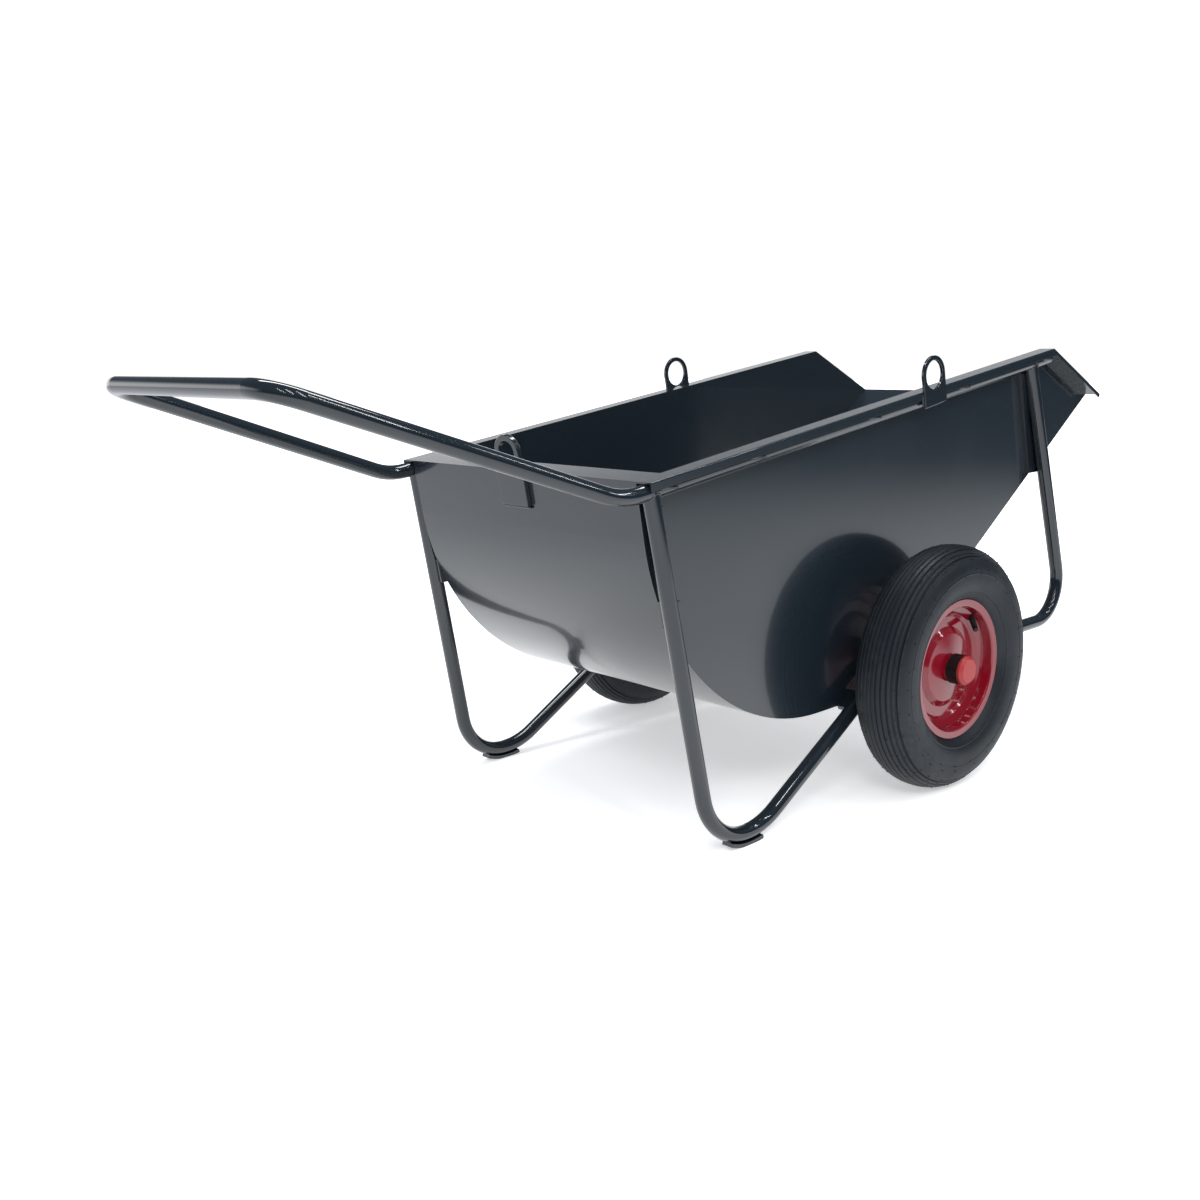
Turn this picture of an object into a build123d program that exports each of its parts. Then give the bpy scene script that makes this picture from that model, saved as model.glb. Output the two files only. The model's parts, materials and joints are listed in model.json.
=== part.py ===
from build123d import *
import os
from math import asin, atan2, cos, hypot, radians, sin, tan

# Two-wheeled tipping barrow with lifting eyes, in millimetres.
# +X points to the pouring lip, +Y to the user's left, +Z up.
# The origin lies on the ground, midway along and midway across the barrow.
# Every X below is first measured from the wheel axle and shifted by axle_x when it is saved.

# ---------------------------------------------------------------- driving dimensions

# tyres and inner tubes
wheel_radius = 200.0
tyre_width = 96.0
tyre_side_clearance = 5.8    # from the side frame's tube to the tyre's inner wall
tyre_wall = 8.0
tread_width = 52.0
tread_thickness = 14.0
tread_groove_depth = 4.0
tread_groove_width = 4.0
tread_groove_pitch = 11.0
tread_groove_steps = 2       # grooves on each side of the middle one
shoulder_width = 78.0
shoulder_drop = 13.0
shoulder_crown = 4.0
tyre_inside_width = 48.0     # width of the flat roof inside the tyre
bead_width = 12.0
bead_height = 12.0
bead_lean = 2.0
inner_tube_slack = 14.0      # from the soft tube to the rim's seat and to the tyre's roof
inner_tube_wall = 2.5

# rims and hubs
rim_flange_radius = 114.0
rim_seat_radius = 101.5
rim_well_radius = 88.0
rim_half_width = 30.0
rim_sheet = 2.5
rim_shoulder_offset = 11.0   # from the wheel's middle plane to where the seat drops to the well
rim_well_offset = 6.0
rim_joint_depth = 5.0        # from the well down to where the two halves meet
rim_joint_width = 17.0       # height of the ring where the halves lie together
rim_bend_radius = 2.0
disc_shoulder_drop = 32.0
disc_shoulder_offset = 8.4
disc_boss_radius = 31.0
disc_boss_offset = 14.0
disc_boss_rim = 6.0
hub_outer_radius = 21.2
hub_wall = 3.7
hub_outboard_length = 20.0
collar_margin = 3.3          # beyond the hub tube
collar_length = 20.0
collar_recess_clearance = 1.0   # round the washer
collar_recess_depth = 12.0
bush_flange = 3.0
bush_gap = 4.0               # between the two bushes' sleeves inside the hub
cap_margin = 0.5             # inside the collar's edge
cap_height = 9.0
cap_chamfer = 5.0
cap_skin = 1.5
cap_spigot_depth = 4.0
valve_radius = 5.8
valve_cap_radius = 4.6
valve_cap_length = 6.0
valve_angle = 49.0           # from straight ahead towards the top of the wheel
valve_root_radius = 99.5     # from the axle to the valve's root, and below to its tip
valve_root_offset = 8.0
valve_tip_radius = 74.0
valve_tip_offset = 28.5

# axles
axle_radius = 10.0
axle_running_clearance = 0.06
axle_chamfer = 1.0
axle_plate_length = 76.0
axle_plate_height = 56.0
axle_plate_corner = 12.0
axle_plate_thickness = 6.0
axle_plate_seat = 2.4        # how far the plate's back reaches in past the tube's outermost line
shoulder_margin = 6.0        # beyond the axle
shoulder_length = 6.5
washer_margin = 6.0          # beyond the axle
washer_thickness = 3.0
clip_thickness = 1.5
clip_margin = 3.5            # beyond the axle
clip_groove_depth = 1.2
clip_mouth = 6.0
end_play = 0.3

# tub
tub_width = 520.0            # outside to outside of the side plates
tub_sheet = 2.5
tub_bottom_height = 148.0
rim_rear_reach = 598.0       # behind the axle
rim_rear_height = 553.0
rim_rise_angle = 8.0
nose_reach = 437.5           # where the rim turns down to the lip, ahead of the axle
lip_reach = 617.0
lip_height = 609.0
rear_wall_lean = 9.0
belly_radius = 380.0
floor_run = 92.0             # flat floor between the belly and the ramp's bend
ramp_bend_radius = 150.0
flange_bend_radius = 2.25
side_lip_depth = 13.0
nose_lip_depth = 8.0
rear_flange_width = 48.0

# tube bow (rails and handle) and side frames
tube_radius = 12.0
tube_wall = 2.3
rail_front_gap = 2.0         # rail's front end stops this far behind the nose
rail_overrun = 38.0          # rail's corner behind the tub, where it turns up to the handle
rail_bend_radius = 120.0
handle_reach = 1098.0
handle_height = 697.0
handle_half_width = 220.0
handle_corner_radius = 45.0
frame_bend_radius = 75.0
foot_rear_bend_radius = 88.0
foot_front_bend_radius = 130.0
frame_splay = 0.032          # sideways run per unit of drop below the rail
rear_leg_reach = 488.6       # where the rear leg's line meets the ground, behind the axle
rear_leg_lean = 10.2
foot_rise_angle = 30.0
foot_rise_reach = 410.0      # where the rising tube's line meets the ground, behind the axle
lower_tube_height = 195.0
front_leg_reach = 507.0      # where the front leg's line meets the lower tube
front_leg_lean = 15.1
wear_plate_thickness = 5.0
wear_plate_width = 20.0
wear_plate_grinding = 0.8    # taken off its round underside so that it rests on a flat
wear_plate_rear_turn = 22.0  # degrees that the plate follows the rear bend upwards
wear_plate_front_turn = 11.0

# lifting eyes
side_eye_reach = 44.0
side_eye_height = 667.5
side_eye_thickness = 5.0
side_eye_hole_radius = 23.0
side_eye_width = 61.0
side_eye_drop = 49.0
side_eye_corner = 4.0
side_eye_tilt = 10.0
rear_eye_thickness = 8.0
rear_eye_hole_radius = 18.0
rear_eye_ring_radius = 27.0
rear_eye_height = 580.0
rear_eye_base_width = 62.0
rear_eye_base_height = 502.0
rear_eye_shoulder_height = 545.0

# brackets between tub and side frames
bracket_rear_reach = 3.2     # behind the rear leg's middle line
bracket_front_reach = 21.6   # ahead of it
upper_bracket_drop = 20.0    # below the rail at the tub's rear wall
upper_bracket_height = 22.0
lower_bracket_rise = 197.0   # above the tub's bottom
lower_bracket_height = 40.0
belly_bracket_reach = 140.0  # its middle, behind the axle
belly_bracket_length = 40.0
belly_bracket_thickness = 8.0
pad_length = 183.0
pad_width = 30.0
pad_top_drop = 18.0
pad_side_inset = 6.0

# weld beads
weld_size = 5.0
stitch_length = 32.0
stitch_reaches = (-560.0, -380.0, -105.0, 145.0, 416.0)

# named clearances
tube_gap = 0.5               # between the rail and the flange that it is welded to
rail_wall_gap = 1.0          # between the rail and the side plate
loose_gap = 0.4

# ---------------------------------------------------------------- derived places

rail_bend_reach = rim_rear_reach + rail_overrun
rail_front_reach = nose_reach - rail_front_gap
axle_x = (handle_reach + tube_radius - lip_reach) / 2
wall_y = tub_width / 2
flange_y = wall_y + rail_wall_gap + tube_radius * 2 + tube_gap + tub_sheet
rail_y = flange_y - tub_sheet - tube_gap - tube_radius
rise = tan(radians(rim_rise_angle))
rim_rear = (-rim_rear_reach, rim_rear_height)
sheet_drop = tub_sheet / cos(radians(rim_rise_angle))
rail_drop = (tub_sheet + tube_gap + tube_radius) / cos(radians(rim_rise_angle))


def rim_height(x):
    return rim_rear_height + rise * (x + rim_rear_reach)


def rail_height(x):
    return rim_height(x) - rail_drop


def frame_y(x, z):
    """Sideways place of a side frame: its plane hangs from the rail and leans outwards."""
    return rail_y + frame_splay * (rail_height(x) - z)


nose = (nose_reach, rim_height(nose_reach))
lip = (lip_reach, lip_height)
lower_tube_y = frame_y(0, lower_tube_height)
plate_outer_y = lower_tube_y + tube_radius + axle_plate_thickness
wheel_y = lower_tube_y + tube_radius + tyre_side_clearance + tyre_width / 2
shoulder_end_y = plate_outer_y + shoulder_length
hub_inner_y = shoulder_end_y + end_play + bush_flange
hub_outer_y = wheel_y + hub_outboard_length
collar_end_y = hub_outer_y + collar_length
washer_y = collar_end_y - collar_recess_depth + end_play
clip_y = washer_y + washer_thickness
shoulder_radius = axle_radius + shoulder_margin
washer_radius = axle_radius + washer_margin
clip_radius = axle_radius + clip_margin
collar_radius = hub_outer_radius + collar_margin
collar_recess_radius = washer_radius + collar_recess_clearance
cap_radius = collar_radius - cap_margin
rim_seat = rim_seat_radius + rim_sheet
tyre_roof_radius = wheel_radius - tread_thickness

# ---------------------------------------------------------------- helpers


def meet(p, direction_p, q, direction_q):
    """Point where two lines in the XZ plane cross."""
    cross = direction_p[0] * direction_q[1] - direction_p[1] * direction_q[0]
    along = ((q[0] - p[0]) * direction_q[1] - (q[1] - p[1]) * direction_q[0]) / cross
    return (p[0] + along * direction_p[0], p[1] + along * direction_p[1])


def slab(sketch, y_low, y_high):
    """Solid between two Y planes from a sketch drawn in X and Z."""
    return extrude(Pos(0, y_high, 0) * (Plane.XZ * sketch), amount=y_high - y_low, dir=(0, -1, 0))


def polygon(*points):
    return make_face(Polyline(*points, close=True))


def turned(profile):
    """Solid of revolution about the axle from a face in radius and Y."""
    return Pos(0, 0, wheel_radius) * revolve(profile, axis=Axis.Y)


def ring(inner_radius, outer_radius, y_low, y_high):
    corners = [(inner_radius, y_low), (outer_radius, y_low), (outer_radius, y_high), (inner_radius, y_high)]
    return turned(polygon(*corners))


def axle_bore(radius):
    """Cutter along the left wheel's axle, from the middle plane to past the wheel."""
    return slab(Pos(0, wheel_radius) * Circle(radius), 0, wheel_y * 2)


def save(name, shape):
    export_step(Pos(axle_x, 0, 0) * shape, f"parts/{name}.step")


def save_pair(name, left_shape):
    save(f"{name}_left", left_shape)
    save(f"{name}_right", mirror(left_shape, about=Plane.XZ))


# ---------------------------------------------------------------- tub


def tub_outline(inset):
    """Side view of the tub's outside, or of its inside when inset by the sheet."""
    lean = radians(rear_wall_lean)
    wall_direction = (sin(lean), -cos(lean))
    wall_inward = (cos(lean), sin(lean))
    floor_z = tub_bottom_height + inset

    def moved_in(point, inward):
        return (point[0] + inset * inward[0], point[1] + inset * inward[1])

    belly_z = tub_bottom_height + belly_radius
    run = (rim_rear[1] + belly_radius * wall_inward[1] - belly_z) / cos(lean)
    belly_x = rim_rear[0] + run * wall_direction[0] + belly_radius * wall_inward[0]
    inner_belly = belly_radius - inset
    belly_top = (belly_x - inner_belly * wall_inward[0], belly_z - inner_belly * wall_inward[1])
    half_turn = radians(90 - rear_wall_lean) / 2
    belly_middle = (belly_x - inner_belly * sin(half_turn), belly_z - inner_belly * cos(half_turn))

    knee_x = belly_x + floor_run
    knee_z = tub_bottom_height + ramp_bend_radius
    to_lip = (lip[0] - knee_x, lip[1] - knee_z)
    slope = atan2(to_lip[1], to_lip[0]) + asin(ramp_bend_radius / hypot(*to_lip))
    ramp_direction = (cos(slope), sin(slope))
    ramp_inward = (-sin(slope), cos(slope))
    inner_knee = ramp_bend_radius - inset
    knee_middle = (knee_x + inner_knee * sin(slope / 2), knee_z - inner_knee * cos(slope / 2))
    knee_end = (knee_x + inner_knee * sin(slope), knee_z - inner_knee * cos(slope))

    nose_direction = (lip[0] - nose[0], lip[1] - nose[1])
    top_rear = meet(moved_in(rim_rear, wall_inward), wall_direction, rim_rear, (1, rise))
    top_front = meet(moved_in(lip, ramp_inward), ramp_direction, nose, nose_direction)
    edges = [
        Line(top_rear, belly_top),
        ThreePointArc(belly_top, belly_middle, (belly_x, floor_z)),
        Line((belly_x, floor_z), (knee_x, floor_z)),
        ThreePointArc((knee_x, floor_z), knee_middle, knee_end),
        Line(knee_end, top_front),
        Line(top_front, nose),
        Line(nose, top_rear),
    ]
    return make_face(Wire(edges))


def wrapper_sheet():
    """One sheet that is rear flange, rear wall, belly, floor and ramp."""
    band = tub_outline(0) - tub_outline(tub_sheet)
    flange_front = -rim_rear_reach + rear_flange_width
    rear_flange = polygon(
        rim_rear,
        (flange_front, rim_height(flange_front)),
        (flange_front, rim_height(flange_front) - sheet_drop),
        (-rim_rear_reach + sheet_drop * tan(radians(rear_wall_lean)), rim_rear_height - sheet_drop),
    )
    half_width = wall_y - tub_sheet
    return slab(band + rear_flange, -half_width, half_width)


def edge_band(side_depth, nose_depth):
    """Band hanging below the rim and nose lines, in side view."""
    rim_tilt = radians(rim_rise_angle)
    nose_run = hypot(lip[0] - nose[0], lip[1] - nose[1])
    nose_direction = ((lip[0] - nose[0]) / nose_run, (lip[1] - nose[1]) / nose_run)
    rear_low = (rim_rear[0] + side_depth * sin(rim_tilt), rim_rear[1] - side_depth * cos(rim_tilt))
    lip_low = (lip[0] + nose_depth * nose_direction[1], lip[1] - nose_depth * nose_direction[0])
    corner_low = meet(rear_low, (1, rise), lip_low, nose_direction)
    return polygon(rim_rear, nose, lip, lip_low, corner_low, rear_low)


def side_plate():
    """Side wall with its outward flange and the flange's turned-down lip."""
    plate = slab(tub_outline(0), wall_y - tub_sheet, wall_y)
    flange = slab(edge_band(tub_sheet, tub_sheet), wall_y, flange_y)
    edge_lip = slab(edge_band(side_lip_depth, nose_lip_depth), flange_y - tub_sheet, flange_y)
    sheet = plate + flange + edge_lip
    top_edges = [
        edge for edge in sheet.edges()
        if abs(edge.center().Y - flange_y) < tube_gap and edge.length > rear_flange_width
        and on_rim_line(edge.center())
    ]
    return fillet(top_edges, flange_bend_radius)


def on_rim_line(point):
    """True on the top line of the flange, along the rim or down the nose."""
    nose_slope = (lip[1] - nose[1]) / (lip[0] - nose[0])
    above_rim = point.Z - rim_height(point.X)
    above_nose = point.Z - nose[1] - nose_slope * (point.X - nose[0])
    return min(abs(above_rim), abs(above_nose)) < tube_gap


# ---------------------------------------------------------------- tubes


def swept_tube(path, hollow=True):
    start = Plane(origin=path @ 0, z_dir=path % 0)
    section = Circle(tube_radius)
    if hollow:
        section = section - Circle(tube_radius - tube_wall)
    return sweep(start * section, path=path)


def bow_path():
    """Centre line of both rails and the handle, as one bent tube."""
    corner = (-rail_bend_reach, rail_y, rail_height(-rail_bend_reach))
    grip = (-handle_reach, handle_half_width, handle_height)
    front = (rail_front_reach, rail_y, rail_height(rail_front_reach))
    half = [front, corner, grip]
    other_half = [(x, -y, z) for x, y, z in reversed(half)]
    radii = [rail_bend_radius, handle_corner_radius, handle_corner_radius, rail_bend_radius]
    return FilletPolyline(*half, *other_half, radius=radii)


def frame_points():
    """Corners of one side frame in X and Z, from the rear leg's top to the front leg's."""
    rear_direction = (-tan(radians(rear_leg_lean)), 1)
    front_direction = (-tan(radians(front_leg_lean)), 1)
    rising_direction = (1, tan(radians(foot_rise_angle)))
    level = (1, 0)
    foot_height = wear_plate_thickness + tube_radius
    rear_line = (-rear_leg_reach, 0)
    rising_line = (-foot_rise_reach, 0)
    front_line = (front_leg_reach, lower_tube_height)
    rail_line = (0, rail_height(0))
    rail_direction = (1, rise)
    return [
        meet(rear_line, rear_direction, rail_line, rail_direction),
        meet(rear_line, rear_direction, (0, foot_height), level),
        meet(rising_line, rising_direction, (0, foot_height), level),
        meet(rising_line, rising_direction, (0, lower_tube_height), level),
        front_line,
        meet(front_line, front_direction, rail_line, rail_direction),
    ]


def frame_path():
    points = [(x, frame_y(x, z), z) for x, z in frame_points()]
    radii = [foot_rear_bend_radius, foot_front_bend_radius, frame_bend_radius, frame_bend_radius]
    return FilletPolyline(*points, radius=radii)


def wear_plate():
    """Flat bar bent round the underside of the foot and ground flat where it rests."""
    rear_corner, front_corner = frame_points()[1:3]
    rear_x = rear_corner[0] + foot_rear_bend_radius * tan(radians(90 - rear_leg_lean) / 2)
    front_x = front_corner[0] - foot_front_bend_radius * tan(radians(foot_rise_angle) / 2)
    depth = wear_plate_thickness + wear_plate_grinding

    def bent(x, bend_radius, turn):
        """Stretch of the bar round one bend, on the side that the turn's sign says."""
        inner = bend_radius + tube_radius
        far = inner * 2
        sector = polygon((0, 0), (0, -far), (far * tan(radians(turn)), -far))
        return Pos(x, inner + wear_plate_thickness) * ((Circle(inner + depth) - Circle(inner)) & sector)

    straight = polygon(
        (rear_x, -wear_plate_grinding),
        (front_x, -wear_plate_grinding),
        (front_x, wear_plate_thickness),
        (rear_x, wear_plate_thickness),
    )
    outline = straight
    outline += bent(rear_x, foot_rear_bend_radius, -wear_plate_rear_turn)
    outline += bent(front_x, foot_front_bend_radius, wear_plate_front_turn)
    ground = Pos(rear_x, -depth / 2) * Rectangle(foot_front_bend_radius * 2, depth)
    foot_y = frame_y(-rear_leg_reach, 0)
    half_width = wear_plate_width / 2
    return slab(outline - ground, foot_y - half_width, foot_y + half_width)


# ---------------------------------------------------------------- lifting eyes


def side_eye():
    outline = Circle(side_eye_width / 2)
    outline += Pos(0, -side_eye_drop / 2) * Rectangle(side_eye_width, side_eye_drop)
    lower_corners = outline.vertices().sort_by(Axis.Y)[:2]
    tab = fillet(lower_corners, side_eye_corner) - Circle(side_eye_hole_radius)
    place = Pos(side_eye_reach, side_eye_height) * Rot(0, 0, side_eye_tilt)
    return slab(place * tab, flange_y, flange_y + side_eye_thickness)


def rear_eye():
    """Plate against the rear wall, leaning with it, that widens to a base below the ring."""
    lean = radians(rear_wall_lean)
    length = (rear_eye_height - rear_eye_base_height) / cos(lean)
    neck = (rear_eye_height - rear_eye_shoulder_height) / cos(lean)
    half_base = rear_eye_base_width / 2
    base = polygon(
        (-rear_eye_ring_radius, 0),
        (rear_eye_ring_radius, 0),
        (half_base, -neck),
        (half_base, -length),
        (-half_base, -length),
        (-half_base, -neck),
    )
    outline = Circle(rear_eye_ring_radius) + base - Circle(rear_eye_hole_radius)
    wall_x = -rim_rear_reach - (rear_eye_height - rim_rear_height) * tan(lean)
    against_wall = Plane(
        origin=(wall_x, 0, rear_eye_height),
        x_dir=(0, -1, 0),
        z_dir=(-cos(lean), 0, -sin(lean)),
    )
    return extrude(against_wall * outline, amount=rear_eye_thickness)


# ---------------------------------------------------------------- brackets and welds


def leg_bracket(z_low, height):
    """Small plate between the side plate's rear edge and the rear leg."""

    def leg_x(z):
        return -rear_leg_reach - tan(radians(rear_leg_lean)) * z

    z_high = z_low + height
    face = polygon(
        (leg_x(z_low) - bracket_rear_reach, z_low),
        (leg_x(z_low) + bracket_front_reach, z_low),
        (leg_x(z_high) + bracket_front_reach, z_high),
        (leg_x(z_high) - bracket_rear_reach, z_high),
    )
    return slab(face, wall_y, frame_y(leg_x(z_low), z_low))


def belly_bracket():
    """Short bar along the rising tube that ties it to the tub's lower edge."""
    height = tan(radians(foot_rise_angle)) * (foot_rise_reach - belly_bracket_reach)
    bar = Rot(0, 0, foot_rise_angle) * Rectangle(belly_bracket_length, belly_bracket_thickness)
    face = Pos(-belly_bracket_reach, height) * bar
    return slab(face, wall_y, frame_y(-belly_bracket_reach, height))


def front_leg_pad():
    """Strip beside the front leg that joins it to the side plate."""

    def leg_x(z):
        return front_leg_reach - tan(radians(front_leg_lean)) * (z - lower_tube_height)

    high_z = frame_points()[-1][1] - pad_top_drop
    low_z = high_z - pad_length
    face = polygon(
        (leg_x(low_z) - pad_width, low_z),
        (leg_x(low_z), low_z),
        (leg_x(high_z), high_z),
        (leg_x(high_z) - pad_width, high_z),
    )
    return slab(face, wall_y, rail_y - pad_side_inset)


def rail_welds():
    """Short stitches that join the flange's lip to the rail."""
    beads = Part()
    for x in stitch_reaches:
        z = rim_height(x) - (side_lip_depth + weld_size / 2) / cos(radians(rim_rise_angle))
        place = Pos(x, flange_y - weld_size / 2, z) * Rot(0, -rim_rise_angle, 0)
        beads += place * Box(stitch_length, weld_size, weld_size)
    return beads


def rear_eye_weld():
    """Fillet bead under the rear eye's base."""
    lean = radians(rear_wall_lean)
    wall_x = -rim_rear_reach + (rim_rear_height - rear_eye_base_height) * tan(lean)
    bead = Cylinder(weld_size / 2, rear_eye_base_width, rotation=(90, 0, 0))
    return Pos(wall_x - weld_size / 2 / cos(lean), 0, rear_eye_base_height - weld_size / 2) * bead


# ---------------------------------------------------------------- axles and hubs


def axle_plate():
    """Plate outside the lower tube that stiffens it where the axle stub passes through."""
    blank = Pos(0, wheel_radius) * RectangleRounded(axle_plate_length, axle_plate_height, axle_plate_corner)
    return slab(blank, lower_tube_y + tube_radius - axle_plate_seat, plate_outer_y)


def axle_stub():
    """Axle with a shoulder against the plate and a groove for the clip at its outer end."""
    stub_start_y = lower_tube_y - tube_radius - weld_size / 2
    stub_end_y = collar_end_y - loose_gap
    groove_radius = axle_radius - clip_groove_depth
    return turned(polygon(
        (0, stub_start_y),
        (axle_radius, stub_start_y),
        (axle_radius, plate_outer_y),
        (shoulder_radius, plate_outer_y),
        (shoulder_radius, shoulder_end_y),
        (axle_radius, shoulder_end_y),
        (axle_radius, clip_y),
        (groove_radius, clip_y),
        (groove_radius, clip_y + clip_thickness),
        (axle_radius, clip_y + clip_thickness),
        (axle_radius, stub_end_y - axle_chamfer),
        (axle_radius - axle_chamfer, stub_end_y),
        (0, stub_end_y),
    ))


def axle_washer():
    return ring(axle_radius + loose_gap / 2, washer_radius, washer_y, washer_y + washer_thickness)


def axle_clip():
    """Open spring ring in the axle's groove."""
    clip = ring(axle_radius - clip_groove_depth, clip_radius, clip_y, clip_y + clip_thickness)
    mouth = Box(clip_mouth, clip_thickness * 2, clip_radius)
    return clip - Pos(0, clip_y + clip_thickness / 2, wheel_radius - clip_radius) * mouth


def hub_tube():
    return ring(hub_outer_radius - hub_wall, hub_outer_radius, hub_inner_y, hub_outer_y)


def outer_bush():
    """Nylon bush whose head is the black collar outside the hub, recessed for the clip."""
    sleeve = hub_outer_radius - hub_wall
    bore = axle_radius + axle_running_clearance
    return turned(polygon(
        (bore, wheel_y),
        (sleeve, wheel_y),
        (sleeve, hub_outer_y),
        (collar_radius, hub_outer_y),
        (collar_radius, collar_end_y),
        (collar_recess_radius, collar_end_y),
        (collar_recess_radius, collar_end_y - collar_recess_depth),
        (bore, collar_end_y - collar_recess_depth),
    ))


def inner_bush():
    sleeve = hub_outer_radius - hub_wall
    bore = axle_radius + axle_running_clearance
    return turned(polygon(
        (bore, hub_inner_y - bush_flange),
        (collar_radius, hub_inner_y - bush_flange),
        (collar_radius, hub_inner_y),
        (sleeve, hub_inner_y),
        (sleeve, wheel_y - bush_gap),
        (bore, wheel_y - bush_gap),
    ))


def hub_cap():
    """Snap-on cap with a chamfered front and a spigot inside the collar."""
    front_y = collar_end_y + cap_height
    spigot = collar_recess_radius
    return turned(polygon(
        (0, front_y),
        (cap_radius - cap_chamfer, front_y),
        (cap_radius, front_y - cap_chamfer),
        (cap_radius, collar_end_y),
        (spigot, collar_end_y),
        (spigot, collar_end_y - cap_spigot_depth),
        (spigot - cap_skin, collar_end_y - cap_spigot_depth),
        (spigot - cap_skin, front_y - cap_skin * 2),
        (0, front_y - cap_skin * 2),
    ))


# ---------------------------------------------------------------- rims, tyres and valves


def rim_half(side):
    """One pressed rim half; side is +1 for the outboard one."""
    half_sheet = rim_sheet / 2
    profile = [
        (rim_flange_radius, rim_half_width - half_sheet),
        (rim_seat_radius + half_sheet, rim_half_width - rim_sheet),
        (rim_seat_radius, rim_shoulder_offset),
        (rim_well_radius, rim_well_offset),
        (rim_well_radius - rim_joint_depth, half_sheet + loose_gap / 4),
        (rim_well_radius - rim_joint_depth - rim_joint_width, half_sheet + loose_gap / 4),
        (rim_well_radius - disc_shoulder_drop, disc_shoulder_offset),
        (disc_boss_radius + disc_boss_rim, disc_boss_offset - rim_sheet),
        (hub_outer_radius, disc_boss_offset),
    ]
    line = FilletPolyline(*[(r, wheel_y + side * y) for r, y in profile], radius=rim_bend_radius)
    return turned(trace(line, line_width=rim_sheet)) - axle_bore(hub_outer_radius)


def tyre_edges(side):
    """Outer and inner edges of the tyre's section on one side of its middle plane."""
    seat = rim_seat
    bead = rim_half_width - rim_sheet * 2
    widest = (seat + wheel_radius) / 2

    def at(radius, offset):
        return (radius, wheel_y + side * offset)

    crown_middle = at(wheel_radius - shoulder_crown, (shoulder_width + tread_width) / 4 + loose_gap)
    bulge = at(widest, tyre_width / 2)
    inner_bulge = at(widest, tyre_width / 2 - tyre_wall)
    bead_top = at(seat + bead_height, bead + bead_lean)
    inner_bead = at(seat + bead_height + bead_lean, bead - bead_width / 2)
    toe = at(seat, bead - bead_width)
    shoulder = at(wheel_radius - shoulder_drop, shoulder_width / 2)
    return [
        Line(at(seat, bead), bead_top),
        TangentArc(bulge, bead_top, tangent=(-1, 0)),
        TangentArc(bulge, shoulder, tangent=(1, 0)),
        ThreePointArc(shoulder, crown_middle, at(wheel_radius, tread_width / 2)),
        Line(at(seat, bead), toe),
        Line(toe, inner_bead),
        TangentArc(inner_bulge, inner_bead, tangent=(-1, 0)),
        TangentArc(inner_bulge, at(tyre_roof_radius, tyre_inside_width / 2), tangent=(1, 0)),
    ]


def tyre():
    """Tyre with circumferential grooves in its tread."""
    half_tread = tread_width / 2
    half_roof = tyre_inside_width / 2
    tread = Line((wheel_radius, wheel_y + half_tread), (wheel_radius, wheel_y - half_tread))
    roof = Line((tyre_roof_radius, wheel_y + half_roof), (tyre_roof_radius, wheel_y - half_roof))
    section = make_face(Wire([*tyre_edges(1), *tyre_edges(-1), tread, roof]))
    groove = Rectangle(tread_groove_depth * 2, tread_groove_width)
    for step in range(-tread_groove_steps, tread_groove_steps + 1):
        section = section - Pos(wheel_radius, wheel_y + step * tread_groove_pitch) * groove
    return turned(section)


def inner_tube():
    middle = (rim_seat + tyre_roof_radius) / 2
    radius = (tyre_roof_radius - rim_seat) / 2 - inner_tube_slack
    section = Circle(radius) - Circle(radius - inner_tube_wall)
    return turned(Pos(middle, wheel_y) * section)


def valve_stem():
    """Rubber valve stem that leans outboard from the rim's well towards the hub."""
    outward = radians(valve_angle)

    def at(radius, offset):
        return Vector(radius * cos(outward), wheel_y + offset, wheel_radius + radius * sin(outward))

    root = at(valve_root_radius, valve_root_offset)
    tip = at(valve_tip_radius, valve_tip_offset)
    along = Plane(origin=root, z_dir=tip - root)
    stem_length = (tip - root).length - valve_cap_length
    stem = extrude(along * Circle(valve_radius), amount=stem_length)
    return stem + extrude(along.offset(stem_length) * Circle(valve_cap_radius), amount=valve_cap_length)


# ---------------------------------------------------------------- build and save

os.makedirs("parts", exist_ok=True)

bow_line = bow_path()
bow_body = swept_tube(bow_line, hollow=False)
frame_line = frame_path()
frame_body = swept_tube(frame_line, hollow=False)
wrapper = wrapper_sheet()
plate = side_plate()
eye = rear_eye() - wrapper
valve = valve_stem()

save("tub_wrapper_sheet", wrapper)
save_pair("tub_side_plate", plate)
save("rail_and_handle_bow", swept_tube(bow_line))
save_pair("side_frame_tube", swept_tube(frame_line) - bow_body - axle_bore(axle_radius))
save_pair("foot_wear_plate", wear_plate() - frame_body)
save_pair("side_lifting_eye", side_eye())
save("rear_lifting_eye", eye)
save("rear_eye_weld", rear_eye_weld() - eye - wrapper)
upper_bracket_low = rail_height(-rim_rear_reach) - upper_bracket_drop - upper_bracket_height
save_pair("rear_leg_upper_bracket", leg_bracket(upper_bracket_low, upper_bracket_height) - frame_body)
lower_bracket_low = tub_bottom_height + lower_bracket_rise
save_pair("rear_leg_lower_bracket", leg_bracket(lower_bracket_low, lower_bracket_height) - frame_body)
save_pair("belly_bracket", belly_bracket() - frame_body)
save_pair("front_leg_pad", front_leg_pad() - frame_body - bow_body)
save_pair("rail_stitch_welds", rail_welds() - bow_body - plate)
save_pair("axle_plate", axle_plate() - frame_body - axle_bore(axle_radius))
save_pair("axle_stub", axle_stub())
save_pair("axle_washer", axle_washer())
save_pair("axle_clip", axle_clip())
save_pair("hub_tube", hub_tube())
save_pair("hub_outer_bush", outer_bush())
save_pair("hub_inner_bush", inner_bush())
save_pair("hub_cap", hub_cap())
save_pair("rim_outer_half", rim_half(1) - valve)
save_pair("rim_inner_half", rim_half(-1))
save_pair("tyre", tyre())
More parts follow.
